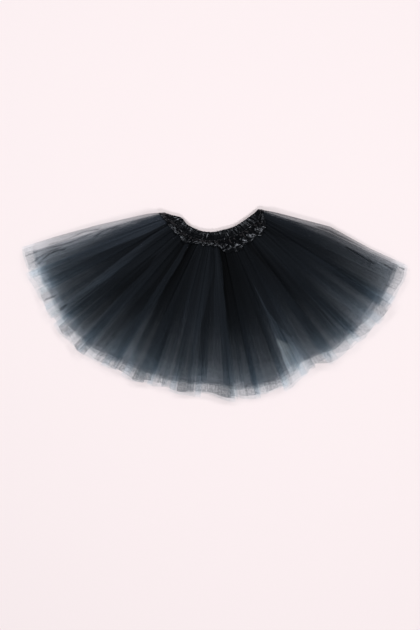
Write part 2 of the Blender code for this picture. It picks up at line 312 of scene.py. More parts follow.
def panel_points(tube, is_front, ends):
    """A panel's points in millimetres, as rows by columns by 3, and each one's share across."""
    table = panel_columns(tube, is_front)
    waist, hem, turn, clear, level, step, calm, lap = table.T
    along = along_rows[:, None]
    opened = rise(along / SEAM_SHARE)
    width = np.array([row_width(a) for a in along_rows])[:, None]
    overlap = np.maximum(LEAST_LAP * opened, lap * down_the_net(LAP_SHARE, along))
    shift = (turn * overlap / 2 + clear * opened) / width
    left, right = ends
    table_across = waist + (hem - waist) * along + shift
    first = np.clip(left / width, 0, SIDE_SHARE)
    last = np.clip(right / width, 0, SIDE_SHARE)
    lead = np.linspace(0, 1, SIDE_COLUMNS + 1)[:-1]
    head = first + (SIDE_SHARE - first) * lead
    tail = 1 - (last + (SIDE_SHARE - last) * lead[::-1])
    waist_all = np.hstack([head, np.broadcast_to(waist, table_across.shape) + shift, tail])
    hem_all = np.hstack([head, np.broadcast_to(hem, table_across.shape) + shift, tail])
    pad = np.zeros(len(lead))
    level = np.hstack([pad + 1, level, pad + 1])
    calm = np.hstack([pad, calm, pad])
    step = np.hstack([pad, step, pad])
    grid_along = np.broadcast_to(along, waist_all.shape)
    across = waist_all + (hem_all - waist_all) * grid_along
    reach = tube.front_reach if is_front else tube.back_reach
    ragged = 1.2 * np.sin(across * 61 + tube.seed)
    ragged = ragged + 0.8 * np.sin(across * 143 + 2.0 * tube.depth)
    at_hem = rise((grid_along - HEM_FROM) / HEM_FADE)
    place = net_place(
        waist_all, hem_all, grid_along, 1 - (1 - reach) * at_hem, (step + ragged) * at_hem
    )
    bulge = {side: down_the_net(column, grid_along) for side, column in BULGE.items()}
    bulge = np.where(across < 0.5, bulge["left"], bulge["right"]) * BULGE_SHARE[tube.depth]
    place[..., 1] += bulge * (1 - inwards(across))
    panel = PANELS - 1 - tube.depth if is_front else tube.depth
    pitch = pitch_at(grid_along, across)
    slot_floor = down_the_net(LIFT, grid_along) + panel * pitch
    points = np.dstack([place, slot_floor])
    return points, across, level, calm, (pitch - LAYER_GAP)


def side_arc(top, bottom, outwards, roundness=0.85, steps=9):
    """The columns round a side edge, on half an ellipse from the top panel to the bottom one."""
    half = np.abs(top[:, 2] - bottom[:, 2]) / 2 * roundness
    arcs = []
    for k in range(1, steps):
        turn = math.pi * k / steps
        point = top + (bottom - top) * (1 - math.cos(turn)) / 2
        point[:, :2] += outwards * (half * math.sin(turn))[:, None]
        arcs.append(point)
    return np.stack(arcs, axis=1)


def away_from_fan(across):
    """For each row of the net, the direction that leads out of the fan at one side."""
    inner = 0.02 if across < 0.5 else 0.98
    count = len(along_rows)
    a = net_place(np.full(count, inner), np.full(count, inner), along_rows, 1.0, 0.0)
    b = net_place(np.full(count, across), np.full(count, across), along_rows, 1.0, 0.0)
    return (b - a) / np.linalg.norm(b - a, axis=1)[:, None]


# %% [markdown]
# Small gathers. Between its pleats the net isn't smooth: the many small gathers at the
# seam fan out and fade towards the hem. That is a rule, so Geometry Nodes make it. The tree
# reads three attributes of the sheet and moves its points up and down in a wave whose depth
# falls along the net. One helper class writes its sums, and the materials use it later too.

# %% A class for sums of sockets
def math_node(tree, operation, *values):
    """The result of a Math node on numbers and sockets."""
    node = tree.nodes.new("ShaderNodeMath")
    node.operation = operation
    for slot, value in zip(node.inputs, values):
        if isinstance(value, Value):
            tree.links.new(value.socket, slot)
        else:
            slot.default_value = value
    return Value(tree, node.outputs[0])


class Value:
    """A socket that takes part in sums: each operator adds its Math node to the tree."""

    def __init__(self, tree, socket):
        self.tree, self.socket = tree, socket

    def __add__(self, other):
        return math_node(self.tree, "ADD", self, other)

    def __mul__(self, other):
        return math_node(self.tree, "MULTIPLY", self, other)

    __radd__, __rmul__ = __add__, __mul__

    def __sub__(self, other):
        return math_node(self.tree, "SUBTRACT", self, other)

    def __rsub__(self, other):
        return math_node(self.tree, "SUBTRACT", other, self)

    def __pow__(self, other):
        return math_node(self.tree, "POWER", self, other)

    def __rpow__(self, other):
        return math_node(self.tree, "POWER", other, self)

    def sine(self):
        return math_node(self.tree, "SINE", self)

    def cosine(self):
        return math_node(self.tree, "COSINE", self)

    def kept(self, low=0.0, high=1.0):
        """The value, held between two limits."""
        below = math_node(self.tree, "MINIMUM", self, high)
        return math_node(self.tree, "MAXIMUM", below, low)


class Tree:
    """A node tree with one method that adds any other node."""

    def __init__(self, tree):
        self.tree = tree

    def node(self, kind, settings=None, inputs=None, output=0):
        """A node of that type, its settings first and then its sockets. Gives one output."""
        node = self.tree.nodes.new(kind)
        for name, value in (settings or {}).items():
            setattr(node, name, value)
        for name, value in (inputs or {}).items():
            if isinstance(value, Value):
                self.tree.links.new(value.socket, node.inputs[name])
            else:
                node.inputs[name].default_value = value
        return Value(self.tree, node.outputs[output])


# %% [markdown]
# The tree for the small gathers. Its inputs have names, so that it could be used on any
# gathered sheet. A modifier's input is set by its socket's identifier.

# %% The tree for the small gathers
def new_tree(name, numbers, finish):
    """A tree of Geometry Nodes with a geometry, numbers and a material as its inputs."""
    group = bpy.data.node_groups.new(name, "GeometryNodeTree")
    add = group.interface.new_socket
    add("Geometry", in_out="OUTPUT", socket_type="NodeSocketGeometry")
    add("Geometry", in_out="INPUT", socket_type="NodeSocketGeometry")
    sockets = [add(label, in_out="INPUT", socket_type="NodeSocketFloat") for label in numbers]
    sockets.append(add(finish, in_out="INPUT", socket_type="NodeSocketMaterial"))
    entry = group.nodes.new("NodeGroupInput")
    given = {s.name: Value(group, s) for s in entry.outputs if s.name}
    return Tree(group), given, {s.name: s.identifier for s in sockets}


def end_tree(tree, geometry, finish):
    """Ends a tree: its instances made real, their material, and the way out."""
    real = tree.node("GeometryNodeRealizeInstances", inputs={"Geometry": geometry})
    done = tree.node("GeometryNodeSetMaterial", inputs={"Geometry": real, "Material": finish})
    leave = tree.tree.nodes.new("NodeGroupOutput")
    tree.tree.links.new(done.socket, leave.inputs["Geometry"])


def run_tree(obj, tree, identifiers, values):
    """Runs a tree on an object. Gives a new object of that name, with the result as its mesh."""
    modifier = obj.modifiers.new("tree", "NODES")
    modifier.node_group = tree.tree
    for name, value in values.items():
        modifier[identifiers[name]] = value
    evaluated = obj.evaluated_get(bpy.context.evaluated_depsgraph_get())
    mesh = bpy.data.meshes.new_from_object(evaluated)
    name, source = obj.name, obj.data
    bpy.data.objects.remove(obj)
    bpy.data.batch_remove((source,))
    mesh.name = name
    return show(bpy.data.objects.new(name, mesh))


def show(obj):
    """Puts a new object into the scene."""
    bpy.context.scene.collection.objects.link(obj)
    return obj


def wave_tree():
    """Geometry Nodes that move a gathered sheet up and down in uneven waves."""
    tree, given, identifiers = new_tree(
        "small_gathers", ("Gathers", "Folds at the hem", "Unevenness"), "Finish"
    )

    def read(name):
        return tree.node("GeometryNodeInputNamedAttribute", {"data_type": "FLOAT"}, {"Name": name})

    around, along, depth = read("around"), read("along"), read("wave_depth")
    drift = (around * 23.0).sine() + (around * 57.0 + along * 1.5).sine() * 0.6
    wander = drift * given["Unevenness"]
    fine = (around * given["Gathers"] * math.tau + wander).sine()
    broad = (around * given["Folds at the hem"] * math.tau + wander).sine()
    mix = (along * 1.6).kept()
    wave = fine * (1 - mix) + broad * mix + fine * mix * 0.25
    lift = tree.node("ShaderNodeCombineXYZ", inputs={"Z": wave * depth})
    moved = tree.node(
        "GeometryNodeSetPosition", inputs={"Geometry": given["Geometry"], "Offset": lift}
    )
    end_tree(tree, moved, given["Finish"])
    return tree, identifiers


small_gathers, gather_inputs = wave_tree()
print("tree inputs:", list(gather_inputs))

# %% [markdown]
# The finish of the net. A single layer of soft net stops about an eighth of the light, once
# on its way to the floor and once on its way back. Where the net is gathered, several layers'
# worth of it stand in the same place, so each point of the sheet carries that number. What
# passes through falls as a power of it. The base colour holds painted shade: it is darker where
# the layers are many, for the light that deep gathers trap, and each fold's painted light or
# shade lifts or lowers it. Net that lies alone in the rim gets a pale grey base colour, a
# painted sheen for the light that its threads scatter over the floor. Fine streaks along the
# net stand for the gathers that are too small to model. They and the speckle are strongest
# where the net is airy, and a honeycomb of threads shows from close by.

# %% The net's finish
THROUGH_ONE_LAYER = 0.88
HOLE_TINT = (0.972, 0.99, 1.0, 1)
NET_CELL, HONEYCOMB_TURNS = 0.0016, (0, 60, 120)
# Painted sheen: the pale grey base colour of net that lies alone in the rim, and the painted light
# levels that call it up.
PAINTED_LONE_SHEEN, LONE_LIGHT, PATCH_LIGHT = (0.4, 0.43, 0.44, 1), 20.0, 18.4
STREAK_STRETCH, STREAK_SCALE, BROAD_SCALE, GRAIN_SCALE = 0.035, 210.0, 45.0, 300.0
MIDDLE_OF_NOISE, BROAD_WEIGHT, STREAK_WEIGHT, AIRY_STREAKS, LONE_SPECKLE = 0.5, 0.4, 0.5, 1.7, 1.5
LEAST_LAYERS, MOST_LAYERS = 0.02, 60.0
LONE_FROM, AIRY_FROM = 16.0, 1.5
HONEYCOMB_SHARE, HONEYCOMB_GAIN = 0.55, 2.3


def new_finish(name):
    """An empty material, its tree and its Principled shader."""
    material = bpy.data.materials.new(name)
    material.use_nodes = True
    return material, Tree(material.node_tree), material.node_tree.nodes["Principled BSDF"]


def feed(shader, values):
    """Sets sockets of a shader to numbers, colours or the outputs of other nodes."""
    for name, value in values.items():
        if isinstance(value, Value):
            value.tree.links.new(value.socket, shader.inputs[name])
        else:
            shader.inputs[name].default_value = value


def noise(tree, place, scale, detail, distortion=0.0):
    """An even noise from about 0 to 1."""
    inputs = {"Vector": place, "Scale": scale, "Detail": detail, "Distortion": distortion}
    return tree.node("ShaderNodeTexNoise", inputs=inputs)


def attribute(tree, name):
    """A number that each point of the mesh carries."""
    return tree.node("ShaderNodeAttribute", {"attribute_name": name}, output="Fac")


def blend(tree, share, first, second):
    """A colour on the way from one to another."""
    inputs = {"Factor": share, 6: first, 7: second}
    return tree.node("ShaderNodeMix", {"data_type": "RGBA"}, inputs, 2)


def honeycomb(tree, cut):
    """1 on the threads of a net with six-sided holes and 0 in its holes."""
    wave_number = math.tau / (NET_CELL * math.sin(math.radians(60)))
    waves = None
    for turn in HONEYCOMB_TURNS:
        lean = (math.cos(math.radians(turn)), math.sin(math.radians(turn)), 0.0)
        inputs = {0: cut, 1: lean}
        along = tree.node("ShaderNodeVectorMath", {"operation": "DOT_PRODUCT"}, inputs, "Value")
        wave = (along * wave_number).cosine()
        waves = wave if waves is None else waves + wave
    return ((0.1 - waves) * 1.6).kept()


def net_finish(name, shade, streak_shift):
    """Soft black nylon net."""
    material, tree, shader = new_finish(name)
    cut = tree.node("ShaderNodeUVMap", {"uv_map": "cut"})
    layers, light = attribute(tree, "net_layers"), attribute(tree, "net_light")
    place = {"Vector": cut, "Location": (streak_shift, 0, 0), "Scale": (1.0, STREAK_STRETCH, 1.0)}
    stretched = tree.node("ShaderNodeMapping", inputs=place)
    streaks = noise(tree, stretched, STREAK_SCALE, 3.0)
    broad = noise(tree, stretched, BROAD_SCALE, 2.0)
    grain = noise(tree, cut, GRAIN_SCALE, 2.0)
    alone = ((light - LONE_FROM) * 0.5).kept()
    airy = ((light - AIRY_FROM) * 0.4).kept()
    speckle = (grain - MIDDLE_OF_NOISE) * (1.0 + alone * LONE_SPECKLE)
    lines = (streaks - MIDDLE_OF_NOISE) * (STREAK_WEIGHT + airy * AIRY_STREAKS)
    uneven = 1.0 - BROAD_WEIGHT * MIDDLE_OF_NOISE + lines + broad * BROAD_WEIGHT + speckle
    sheet = 1 - THROUGH_ONE_LAYER ** (layers * uneven).kept(LEAST_LAYERS, MOST_LAYERS)
    weight = (1.0 - layers * 0.35).kept(0.0, HONEYCOMB_SHARE)
    alpha = sheet * (1 - weight) + sheet * honeycomb(tree, cut) * weight * HONEYCOMB_GAIN
    holes = tree.node("ShaderNodeBsdfTransparent", inputs={"Color": HOLE_TINT})
    mixed = tree.node("ShaderNodeMixShader", inputs={"Fac": alpha.kept(), 1: holes})
    links, nodes = material.node_tree.links, material.node_tree.nodes
    links.new(shader.outputs[0], mixed.socket.node.inputs[2])
    links.new(mixed.socket, nodes["Material Output"].inputs["Surface"])
    # Painted shade and light: the base colour darkens as the layers grow, for the light that deep
    # gathers trap, and follows each fold's painted light; a broad noise varies it at random.
    painted_light_and_tone = layers ** -0.5 * light * (0.3 + broad * 0.4)
    pale = (shade, shade * 1.22, shade * 1.6, 1)
    colour = blend(tree, painted_light_and_tone.kept(), (0.0, 0.0, 0.0, 1), pale)
    # Painted sheen: where the rim's painted light is high, the base colour turns to the pale grey
    # of the sheen of net that lies alone.
    painted_sheen_share = ((light - LONE_LIGHT + 2.0) * 0.45).kept()
    bump = {"Height": streaks, "Strength": 0.5, "Distance": 0.0006}
    look = {
        "Base Color": blend(tree, painted_sheen_share, colour, PAINTED_LONE_SHEEN),
        "Roughness": 0.6 + streaks * 0.3,
        "Specular IOR Level": 0.04,
        "Normal": tree.node("ShaderNodeBump", inputs=bump),
    }
    feed(shader, look)
    return material


NET_SHADE, STREAK_SHIFT = 0.033, 0.31
net_finishes = {
    tube.name: net_finish(f"soft_net_{tube.depth}", NET_SHADE, STREAK_SHIFT * tube.depth)
    for tube in TUBES
}
print("net finishes:", list(net_finishes))

# %% [markdown]
# Painted light and shade on the folds. A broad fold of net that stands up to the light is
# painted pale, and the net that dips under its edge is painted dark: the tone lifts or lowers
# the net's base colour and thins or thickens its layers. The folds run through all three tubes
# together, so one table serves every front panel. It follows the fan from left to right: each
# row is a strip that starts at a sharp edge and fades towards the next. The edge is given as
# angles at five distances from the fan's centre, because folds lean, and the tones at three
# distances.

# %% Painted light and shade of the folds on the front
Strip = namedtuple("Strip", "edge high middle low")
EDGE_RADII = (120.0, 169.0, 231.0, 293.0, 337.0)
TONE_RADII = (145.0, 231.0, 300.0)
STRIPS = (
    Strip((-80.0, -80.0, -80.0, -80.0, -80.0), (9.0, 3.4), (6.5, 2.2), (3.0, 1.5)),
    Strip((-61.5, -63.0, -64.5, -66.0, -66.5), (1.4, 0.85), (1.2, 1.15), (1.05, 1.0)),
    Strip((-58.2, -56.8, -55.6, -54.8, -54.2), (2.7, 1.8), (2.4, 2.2), (1.6, 1.3)),
    Strip((-54.5, -52.5, -52.0, -53.5, -53.8), (1.45, 1.35), (1.1, 1.05), (1.0, 1.0)),
    Strip((-43.0, -47.3, -50.0, -52.5, -53.5), (1.0, 0.8), (0.95, 0.55), (0.95, 0.65)),
    Strip((-44.5, -42.0, -43.3, -43.3, -44.5), (1.45, 0.85), (1.2, 0.95), (1.22, 1.05)),
    Strip((-33.0, -33.5, -35.8, -37.2, -38.5), (0.7, 0.55), (0.6, 0.75), (0.7, 0.85)),
    Strip((-29.5, -31.0, -31.4, -34.0, -35.5), (1.5, 1.4), (1.3, 0.95), (1.1, 1.2)),
    Strip((-25.2, -27.2, -27.0, -26.5, -25.5), (0.28, 1.15), (0.62, 1.0), (0.75, 0.8)),
    Strip((-13.5, -13.3, -12.5, -10.5, -10.5), (1.35, 1.45), (1.4, 1.36), (0.75, 0.75)),
    Strip((4.0, -1.0, -4.2, -5.6, -6.0), (0.98, 1.1), (0.78, 1.05), (0.72, 1.1)),
    Strip((4.5, 2.2, 1.8, 0.5, -2.5), (1.9, 1.3), (1.5, 1.15), (1.3, 1.0)),
    Strip((10.6, 8.6, 7.8, 7.6, 6.5), (0.2, 0.75), (0.5, 0.98), (1.0, 1.35)),
    Strip((24.0, 24.5, 21.5, 20.0, 19.8), (0.68, 0.8), (0.76, 1.2), (0.9, 1.08)),
    Strip((27.0, 27.0, 26.5, 24.9, 24.4), (1.0, 1.0), (7.0, 6.0), (24.0, 17.0)),
    Strip((27.2, 27.2, 27.2, 30.1, 30.5), (0.95, 0.85), (1.15, 1.05), (1.1, 1.0)),
    Strip((39.0, 40.5, 39.4, 37.9, 37.6), (0.5, 1.45), (0.7, 1.15), (0.75, 0.9)),
    Strip((50.0, 51.0, 51.6, 51.6, 51.2), (1.35, 1.1), (1.2, 1.35), (1.4, 0.85)),
    Strip((60.0, 62.5, 62.0, 60.5, 61.5), (0.85, 1.1), (0.95, 1.1), (0.6, 0.95)),
    Strip((66.3, 66.3, 66.3, 66.3, 66.3), (1.4, 2.2), (1.1, 0.7), (1.2, 1.0)),
)
LAST_EDGE = 78.0


def fan_angle(points):
    """The angle and the distance of points in millimetres, seen from the fan's centre."""
    x, y = points[..., 0] - FAN_CENTRE[0], FAN_CENTRE[1] - points[..., 1]
    return np.degrees(np.arctan2(x, y)), np.hypot(x, y)


def painted_fold_light(points):
    """The painted light and shade of the folds at points of a front panel: 1 is the net's own tone.
    """
    angle, radius = fan_angle(points)
    edges = [np.interp(radius, EDGE_RADII, strip.edge) for strip in STRIPS]
    edges.append(np.full_like(radius, LAST_EDGE))
    light = np.ones_like(radius)
    for strip, start, end in zip(STRIPS, edges, edges[1:]):
        levels = np.array([strip.high, strip.middle, strip.low])
        left = np.interp(radius, TONE_RADII, levels[:, 0])
        right = np.interp(radius, TONE_RADII, levels[:, 1])
        share = np.clip((angle - start) / np.maximum(end - start, 0.2), 0, 1)
        light = np.where(angle >= start, left + (right - left) * share, light)
    return light


print("folds:", len(STRIPS))

# %% [markdown]
# The rim. The outer tube is longer than the other two, so its hem lies alone. There its
# pleats show one by one as darker patches. The table gives each patch's two angles and how
# many layers of net it is worth. The hems of the two shorter tubes are looser on the left.

# %% Patches in the rim
Patch = namedtuple("Patch", "start end layers")
HEM_PATCHES = (
    Patch(-74.0, -69.0, 1.5), Patch(-62.5, -58.0, 2.3), Patch(-55.0, -52.5, 1.8),
    Patch(-50.0, -45.5, 4.2), Patch(-43.0, -39.0, 4.8), Patch(-36.0, -30.0, 3.4),
    Patch(-30.0, -26.6, 4.6), Patch(-26.6, -23.5, 1.6), Patch(-23.5, -18.2, 6.2),
    Patch(-18.2, -16.0, 1.4), Patch(-16.0, -13.6, 5.6), Patch(-13.6, -9.9, 1.6),
    Patch(-9.9, -5.6, 7.7), Patch(-5.6, -0.3, 4.0), Patch(-0.3, 2.4, 5.4),
    Patch(2.4, 7.1, 8.2), Patch(7.1, 10.3, 1.4), Patch(10.3, 14.3, 4.0),
    Patch(16.3, 20.0, 3.8), Patch(20.0, 24.4, 1.8), Patch(30.5, 38.0, 3.2),
    Patch(38.0, 44.5, 1.3), Patch(44.5, 51.0, 2.2), Patch(51.0, 55.5, 1.6),
    Patch(55.5, 61.0, 3.2), Patch(61.0, 64.5, 1.6), Patch(64.5, 70.5, 2.4),
)
RIM_FROM, RIM_FADE, OPEN_HEM, LONE_BELOW = 0.912, 0.022, 0.75, 0.8
LOOSE_FROM, LOOSE_FADE, LOOSE_HEM, THINNED = -36.0, 14.0, 0.1, 0.6


def hem_layers(points, calm, patches):
    """The outer net beyond the shorter tubes: its layers there, and how far that counts."""
    angle, radius = fan_angle(points)
    layers = np.full_like(radius, OPEN_HEM)
    for patch in patches:
        layers = np.where((angle > patch.start) & (angle < patch.end), patch.layers, layers)
    share = radius / hem_radius(angle)
    in_a_pleat = calm > 0.99
    return np.where(in_a_pleat, layers / 3, layers), rise((share - RIM_FROM) / RIM_FADE)


def loose_hem(points):
    """How much of a shorter tube's net is left near its hem: less of it on the left."""
    angle, _ = fan_angle(points)
    loose = rise((LOOSE_FROM - angle) / LOOSE_FADE) * (0.75 + 0.25 * np.sin(1.9 * angle))
    at_hem = rise((along_rows[:, None] - (1 - LOOSE_HEM)) / LOOSE_HEM)
    return 1 - THINNED * at_hem * loose


print("patches in the rim:", len(HEM_PATCHES))

# %% [markdown]
# Creases. At the two side edges the net rolls over itself, and its creases show as dark
# lines with bright gaps between them. Each row of the table is a line across the front, in
# the part's own millimetres: its half width, how it multiplies the layers, and its path.

# %% Creases at the side edges
Crease = namedtuple("Crease", "width layers path")
CREASES = (
    Crease(1.2, 6.0, (
        (-300, 108), (-282, 112), (-264, 118), (-246, 127), (-235, 131), (-213, 135),
    )),
    Crease(2.2, 0.15, ((-282, 109), (-264, 115), (-249, 120), (-235, 127), (-215, 131))),
    Crease(1.3, 6.0, (
        (-348, 85), (-318, 96), (-300, 102), (-282, 106), (-264, 111), (-246, 118), (-224, 127),
    )),
    Crease(1.3, 5.0, ((-331, 74), (-318, 84), (-309, 90), (-297, 96), (-282, 101))),
    Crease(1.4, 7.0, ((-327, 64), (-318, 74), (-309, 83), (-300, 90), (-288, 96), (-271, 99))),
    Crease(4.2, 0.18, ((-318, 68), (-306, 80), (-293, 87), (-278, 92))),
    Crease(3.5, 0.30, ((-278, 92), (-260, 98), (-242, 104), (-224, 110), (-209, 119), (-187, 126))),
    Crease(1.4, 6.0, ((-215, 123), (-206, 130), (-191, 136), (-177, 139))),
    Crease(1.8, 0.18, ((-169, 143), (-155, 147))),
    Crease(1.3, 0.24, ((-151, 145), (-138, 147))),
    Crease(1.2, 4.9, ((-309, 7), (-289, 14))),
    Crease(1.2, 4.9, ((-298, -25), (-286, -13), (-269, -2))),
    Crease(1.4, 4.6, (
        (173, 148), (191, 138), (209, 132), (228, 122), (246, 114), (282, 96), (318, 78), (349, 59),
    )),
    Crease(1.3, 0.27, ((155, 145), (173, 135), (213, 120), (246, 103), (282, 82), (318, 62))),
    Crease(1.3, 4.6, ((237, 103), (268, 85), (289, 73))),
    Crease(1.4, 5.0, ((306, 73), (327, 60))),
    Crease(1.2, 4.9, ((311, 34), (331, 25))),
)


def creased(points):
    """How much a crease adds to the layers: above 1 on a dark line and below 1 in a gap."""
    place = points[..., :2]
    factor = np.ones(place.shape[:2])
    for crease in CREASES:
        nearest = np.full(place.shape[:2], np.inf)
        path = np.array(crease.path, dtype=float)
        for a, b in zip(path, path[1:]):
            share = np.clip((place - a) @ (b - a) / ((b - a) @ (b - a)), 0, 1)
            away = np.linalg.norm(place - a - share[..., None] * (b - a), axis=-1)
            nearest = np.minimum(nearest, away)
        factor = factor * crease.layers ** np.exp(-((nearest / crease.width) ** 2))
    return factor


print("creases:", len(CREASES))

# %% [markdown]
# Grids. Points that stand in rows and columns become one mesh of quads, closed all round and
# open at the waist and the hem. Its cut is laid out as UVs in metres, as the cloth lay before
# it was sewn, and named attributes keep a number for each point. numpy writes all at once.

# %% From a grid of points to a mesh
def grid_mesh(name, points):
    """A grid of points, rows by columns and closed all round, as a mesh that faces outwards."""
    rows, columns = points.shape[:2]
    mesh = bpy.data.meshes.new(name)
    here = np.arange(rows * columns).reshape(rows, columns)
    ahead = np.roll(here, -1, axis=1)
    quads = np.stack([here[:-1], here[1:], ahead[1:], ahead[:-1]], -1).reshape(-1, 4)
    mesh.from_pydata((points.reshape(-1, 3) * MM).tolist(), [], quads.tolist())
    mesh.shade_smooth()
    return mesh


def lay_cut(mesh, rows, columns, across, along):
    """Writes the cut as the UV map 'cut', in metres: columns + 1 places across, rows along."""
    layer = mesh.uv_layers.new(name="cut")
    u = np.stack([across[:-1], across[:-1], across[1:], across[1:]], -1)
    u = np.broadcast_to(u, (rows - 1, columns, 4))
    v = np.stack([along[:-1], along[1:], along[1:], along[:-1]], -1)
    v = np.broadcast_to(v[:, None], (rows - 1, columns, 4))
    layer.data.foreach_set("uv", np.stack([u, v], -1).astype(np.float32).ravel())


def write_attribute(mesh, name, values):
    """Keeps one number for each point under a name."""
    layer = mesh.attributes.new(name, "FLOAT", "POINT")
    layer.data.foreach_set("value", np.ascontiguousarray(values, dtype=np.float32).ravel())


def points_of(mesh, rows, columns):
    """A grid mesh's points, rows by columns by 3, in metres."""
    points = np.empty(rows * columns * 3, dtype=np.float32)
    mesh.vertices.foreach_get("co", points)
    return points.reshape(rows, columns, 3).astype(float)


print("helpers:", [f.__name__ for f in (grid_mesh, lay_cut, write_attribute, points_of)])

# %% [markdown]
# All round a tube: the front panel, the right side edge, the back panel and the left one.
# Each point also carries how deep its small gathers are, whether it lies in a pleat, the
# painted light and shade of its fold or the rim's painted sheen, and what the rim and the
# creases make of its layers.

# %% Points all round a tube
WAVE_DEPTH = (0.45, 1.2, 1.1, 0.7, 0.5)
AT_SIDES = {"depth": 0.0, "calm": 0.0, "at_rim": 0.0, "creased": 1.0}


def tube_ring(tube):
    """A tube's grid of points, and the numbers that each point carries."""
    inset = 0.12 + 0.88 * along_rows[:, None]
    parts = {}
    for is_front in (True, False):
        points, across, level, calm, room = panel_points(
            tube, is_front, (tube.left * inset, tube.right * inset)
        )
        even = np.ones_like(across)
        calm = calm * even
        depth = np.minimum(down_the_net(WAVE_DEPTH, along_rows)[:, None], room * 0.3)
        depth = depth * (1 - 0.85 * calm) * (0.25 + 0.75 * inwards(across))
        points[..., 2] += depth + level / 2 * (room - 2 * depth)
        carried = {"depth": depth, "calm": calm, "rim": even, "at_rim": 0 * even}
        behind = even if is_front else 1 - inwards(across)
        # Painted light and shade of the folds: all over the front, and behind only at the side
        # edges.
        carried["light"] = 1 + (painted_fold_light(points) - 1) * behind
        carried["creased"] = creased(points) if is_front else even
        if tube.depth > 0:
            carried["creased"] = carried["creased"] * loose_hem(points)
        else:
            rim, at_rim = hem_layers(points, calm, HEM_PATCHES if is_front else ())
            # In the rim the painted light is set high, which gives the net that lies alone there
            # the pale painted sheen.
            rim_light = np.where(rim < LONE_BELOW, LONE_LIGHT, PATCH_LIGHT)
            carried["light"] = carried["light"] * (1 - at_rim) + rim_light * at_rim
            carried["rim"], carried["at_rim"] = rim, at_rim
        parts[is_front] = points, carried
    (front, front_carries), (back, back_carries) = parts[True], parts[False]
    right = side_arc(front[:, -1], back[:, -1], away_from_fan(1.0))
    left = side_arc(back[:, 0], front[:, 0], away_from_fan(0.0))
    still = np.zeros(right.shape[:2])

    def all_round(name):
        a, b = front_carries[name], back_carries[name]
        if name in AT_SIDES:
            side = still + AT_SIDES[name]
            return np.concatenate([a, side, b[:, ::-1], side], axis=1)
        return np.concatenate([a, still + a[:, -1:], b[:, ::-1], still + a[:, :1]], axis=1)

    return (
        np.concatenate([front, right, back[:, ::-1], left], axis=1),
        {name: all_round(name) for name in front_carries},
    )


rings = {tube.name: tube_ring(tube) for tube in TUBES}
print("points round each tube:", {name: ring[0].shape[1] for name, ring in rings.items()})

# %% [markdown]
# Making the tubes. The cut across says how much net lies between two columns at the hem: it
# was bunched unevenly, and less of it shows in a pleat. The layers at a point come from that
# cut, from how the net crowds towards the waist, from how steeply it stands to the camera's
# line of sight, and from the numbers that the point carries.

# %% Make the three tubes of net
CROWD_ALONG = (0.0, 0.13, 0.385, 0.64, 0.8, 0.85, 0.9, 0.95, 1.0)
CROWD = (5.0, 4.9, 2.9, 1.95, 1.5, 1.3, 1.15, 1.05, 0.95)
CALM_SHARE = 0.55
BODY_FROM, BODY_FADE, STEEPEST = 0.6, 0.3, 1.9
LEAST_DENSITY, MOST_DENSITY = 0.3, 9.0
GATHERS = {"Gathers": 110.0, "Folds at the hem": 34.0, "Unevenness": 1.3}


def spread_of(count, seed):
    """How closely the net was bunched round the tube: uneven, and 1 on average."""
    place = np.linspace(0, math.tau, count, endpoint=False)
    rng = np.random.default_rng(seed)
    bunched = np.zeros(count)
    for waves in (5, 9, 14, 23, 31, 44, 61, 83):
        strength = rng.uniform(0.5, 1.0) / (1 + 0.03 * waves)
        bunched += strength * np.sin(waves * place + rng.uniform(0, math.tau))
    bunched = np.exp(0.12 * bunched)
    return bunched / bunched.mean()


def smoothed(values, times):
    """Values averaged with their neighbours all round the tube."""
    for _ in range(times):
        values = (np.roll(values, 1, 1) + 2 * values + np.roll(values, -1, 1)) / 4
    return values


def layers_of(tube, laid, cut, carried):
    """How many layers of flat net stop as much light as the sheet does at each point."""
    step = np.diff(laid, axis=1, append=laid[:, :1])
    length = np.linalg.norm(step, axis=2)
    density = np.diff(cut) / np.maximum(smoothed(length, 3), 1e-6)
    density = np.clip(density, LEAST_DENSITY, MOST_DENSITY)
    flat = smoothed(np.linalg.norm(step[..., :2], axis=2), 1)
    on_edge = np.clip(smoothed(length, 1) / np.maximum(flat, 1e-6), 1.0, STEEPEST)
    body = 1 + (tube.body - 1) * rise((along_rows - BODY_FROM) / BODY_FADE)
    crowd = (np.interp(along_rows, CROWD_ALONG, CROWD) * body)[:, None]
    # The folds' painted light thins the layers, and their painted shade thickens them.
    layers = density * crowd / np.sqrt(carried["light"])
    layers = layers + (carried["rim"] - layers) * carried["at_rim"]
    return layers * on_edge * carried["creased"], density


def make_tube(tube):
    """One tube of net, laid flat, with its cut and its density."""
    points, carried = rings[tube.name]
    rows, columns = points.shape[:2]
    mesh = grid_mesh(tube.name, points)
    hem = np.linalg.norm(np.diff(points[-1], axis=0, append=points[-1][:1]), axis=1) * MM
    calm = carried["calm"][-1] > 0.99
    room = hem * spread_of(columns, tube.seed) * (1 - CALM_SHARE * calm)
    cut = np.concatenate([[0.0], np.cumsum(room)])
    cut *= tube.cut_width / cut[-1]
    lay_cut(mesh, rows, columns, cut, along_rows * tube.cut_length)
    write_attribute(mesh, "around", np.broadcast_to(cut[:-1] / cut[-1], (rows, columns)))
    write_attribute(mesh, "along", np.broadcast_to(along_rows[:, None], (rows, columns)))
    write_attribute(mesh, "wave_depth", carried["depth"] * MM)
    values = {**GATHERS, "Finish": net_finishes[tube.name]}
    flat = show(bpy.data.objects.new(tube.name, mesh))
    net = run_tree(flat, small_gathers, gather_inputs, values)
    layers, density = layers_of(tube, points_of(net.data, rows, columns), cut, carried)
    write_attribute(net.data, "net_layers", layers)
    write_attribute(net.data, "net_light", carried["light"])
    share = sum(face.area for face in net.data.polygons) / (tube.cut_width * tube.cut_length)
    at_hem = round(float(density[-1].mean()), 2)
    print(tube.name, "area over cut", round(share, 2), "density at the hem", at_hem)
    return net


